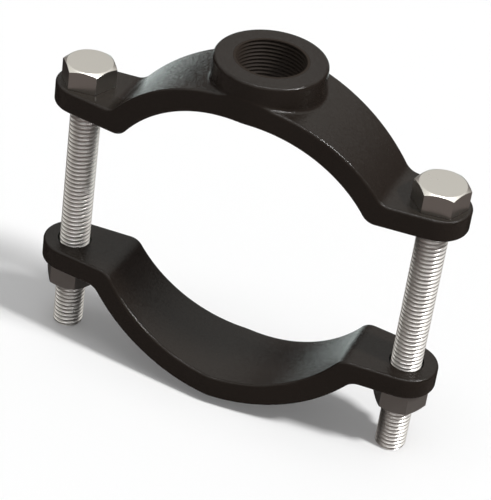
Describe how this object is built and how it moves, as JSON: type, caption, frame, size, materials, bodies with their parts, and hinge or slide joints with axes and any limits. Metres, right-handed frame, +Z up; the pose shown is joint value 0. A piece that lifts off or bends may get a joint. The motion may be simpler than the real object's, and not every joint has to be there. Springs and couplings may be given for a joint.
{
  "type": "tapping saddle",
  "caption": "Two-piece cast pipe saddle with a tapped round outlet boss on the crown, drawn together on long hexagon bolts and nuts.",
  "frame": {"origin": "on the axis of the gripped pipe, under the middle of the outlet and midway between the bolts", "axes": "+X from the left bolt to the right bolt, +Y along the pipe, +Z up through the outlet"},
  "size_m": [0.162, 0.0414, 0.144],
  "materials": {
    "casting": "smooth black coating, satin",
    "bolt_steel": "bright zinc, satin",
    "nut_steel": "plain steel, satin",
    "seal": "matt"
  },
  "bodies": {
    "saddle": {"upper_saddle": "casting", "outlet_seal": "seal", "bolt_left": "bolt_steel", "bolt_right": "bolt_steel"},
    "strap": {"lower_strap": "casting"},
    "left_nut": {"nut_left": "nut_steel"},
    "right_nut": {"nut_right": "nut_steel"}
  },
  "joints": [
    {"name": "strap_slide", "type": "slide", "parent": "saddle", "child": "strap", "axis": [0, 0, 1], "range_m": [-0.0195, 0.0605]},
    {"name": "nut_left_spin", "type": "hinge", "parent": "strap", "child": "left_nut", "pos_m": [-0.069, 0, -0.0446], "axis": [0, 0, 1], "continuous": true},
    {"name": "nut_right_spin", "type": "hinge", "parent": "strap", "child": "right_nut", "pos_m": [0.069, 0, -0.0446], "axis": [0, 0, 1], "continuous": true}
  ],
  "couplings": [
    {"joint": "nut_left_spin", "follows": "strap_slide", "rad_per_m": 3590.4},
    {"joint": "nut_right_spin", "follows": "strap_slide", "rad_per_m": 3590.4}
  ]
}
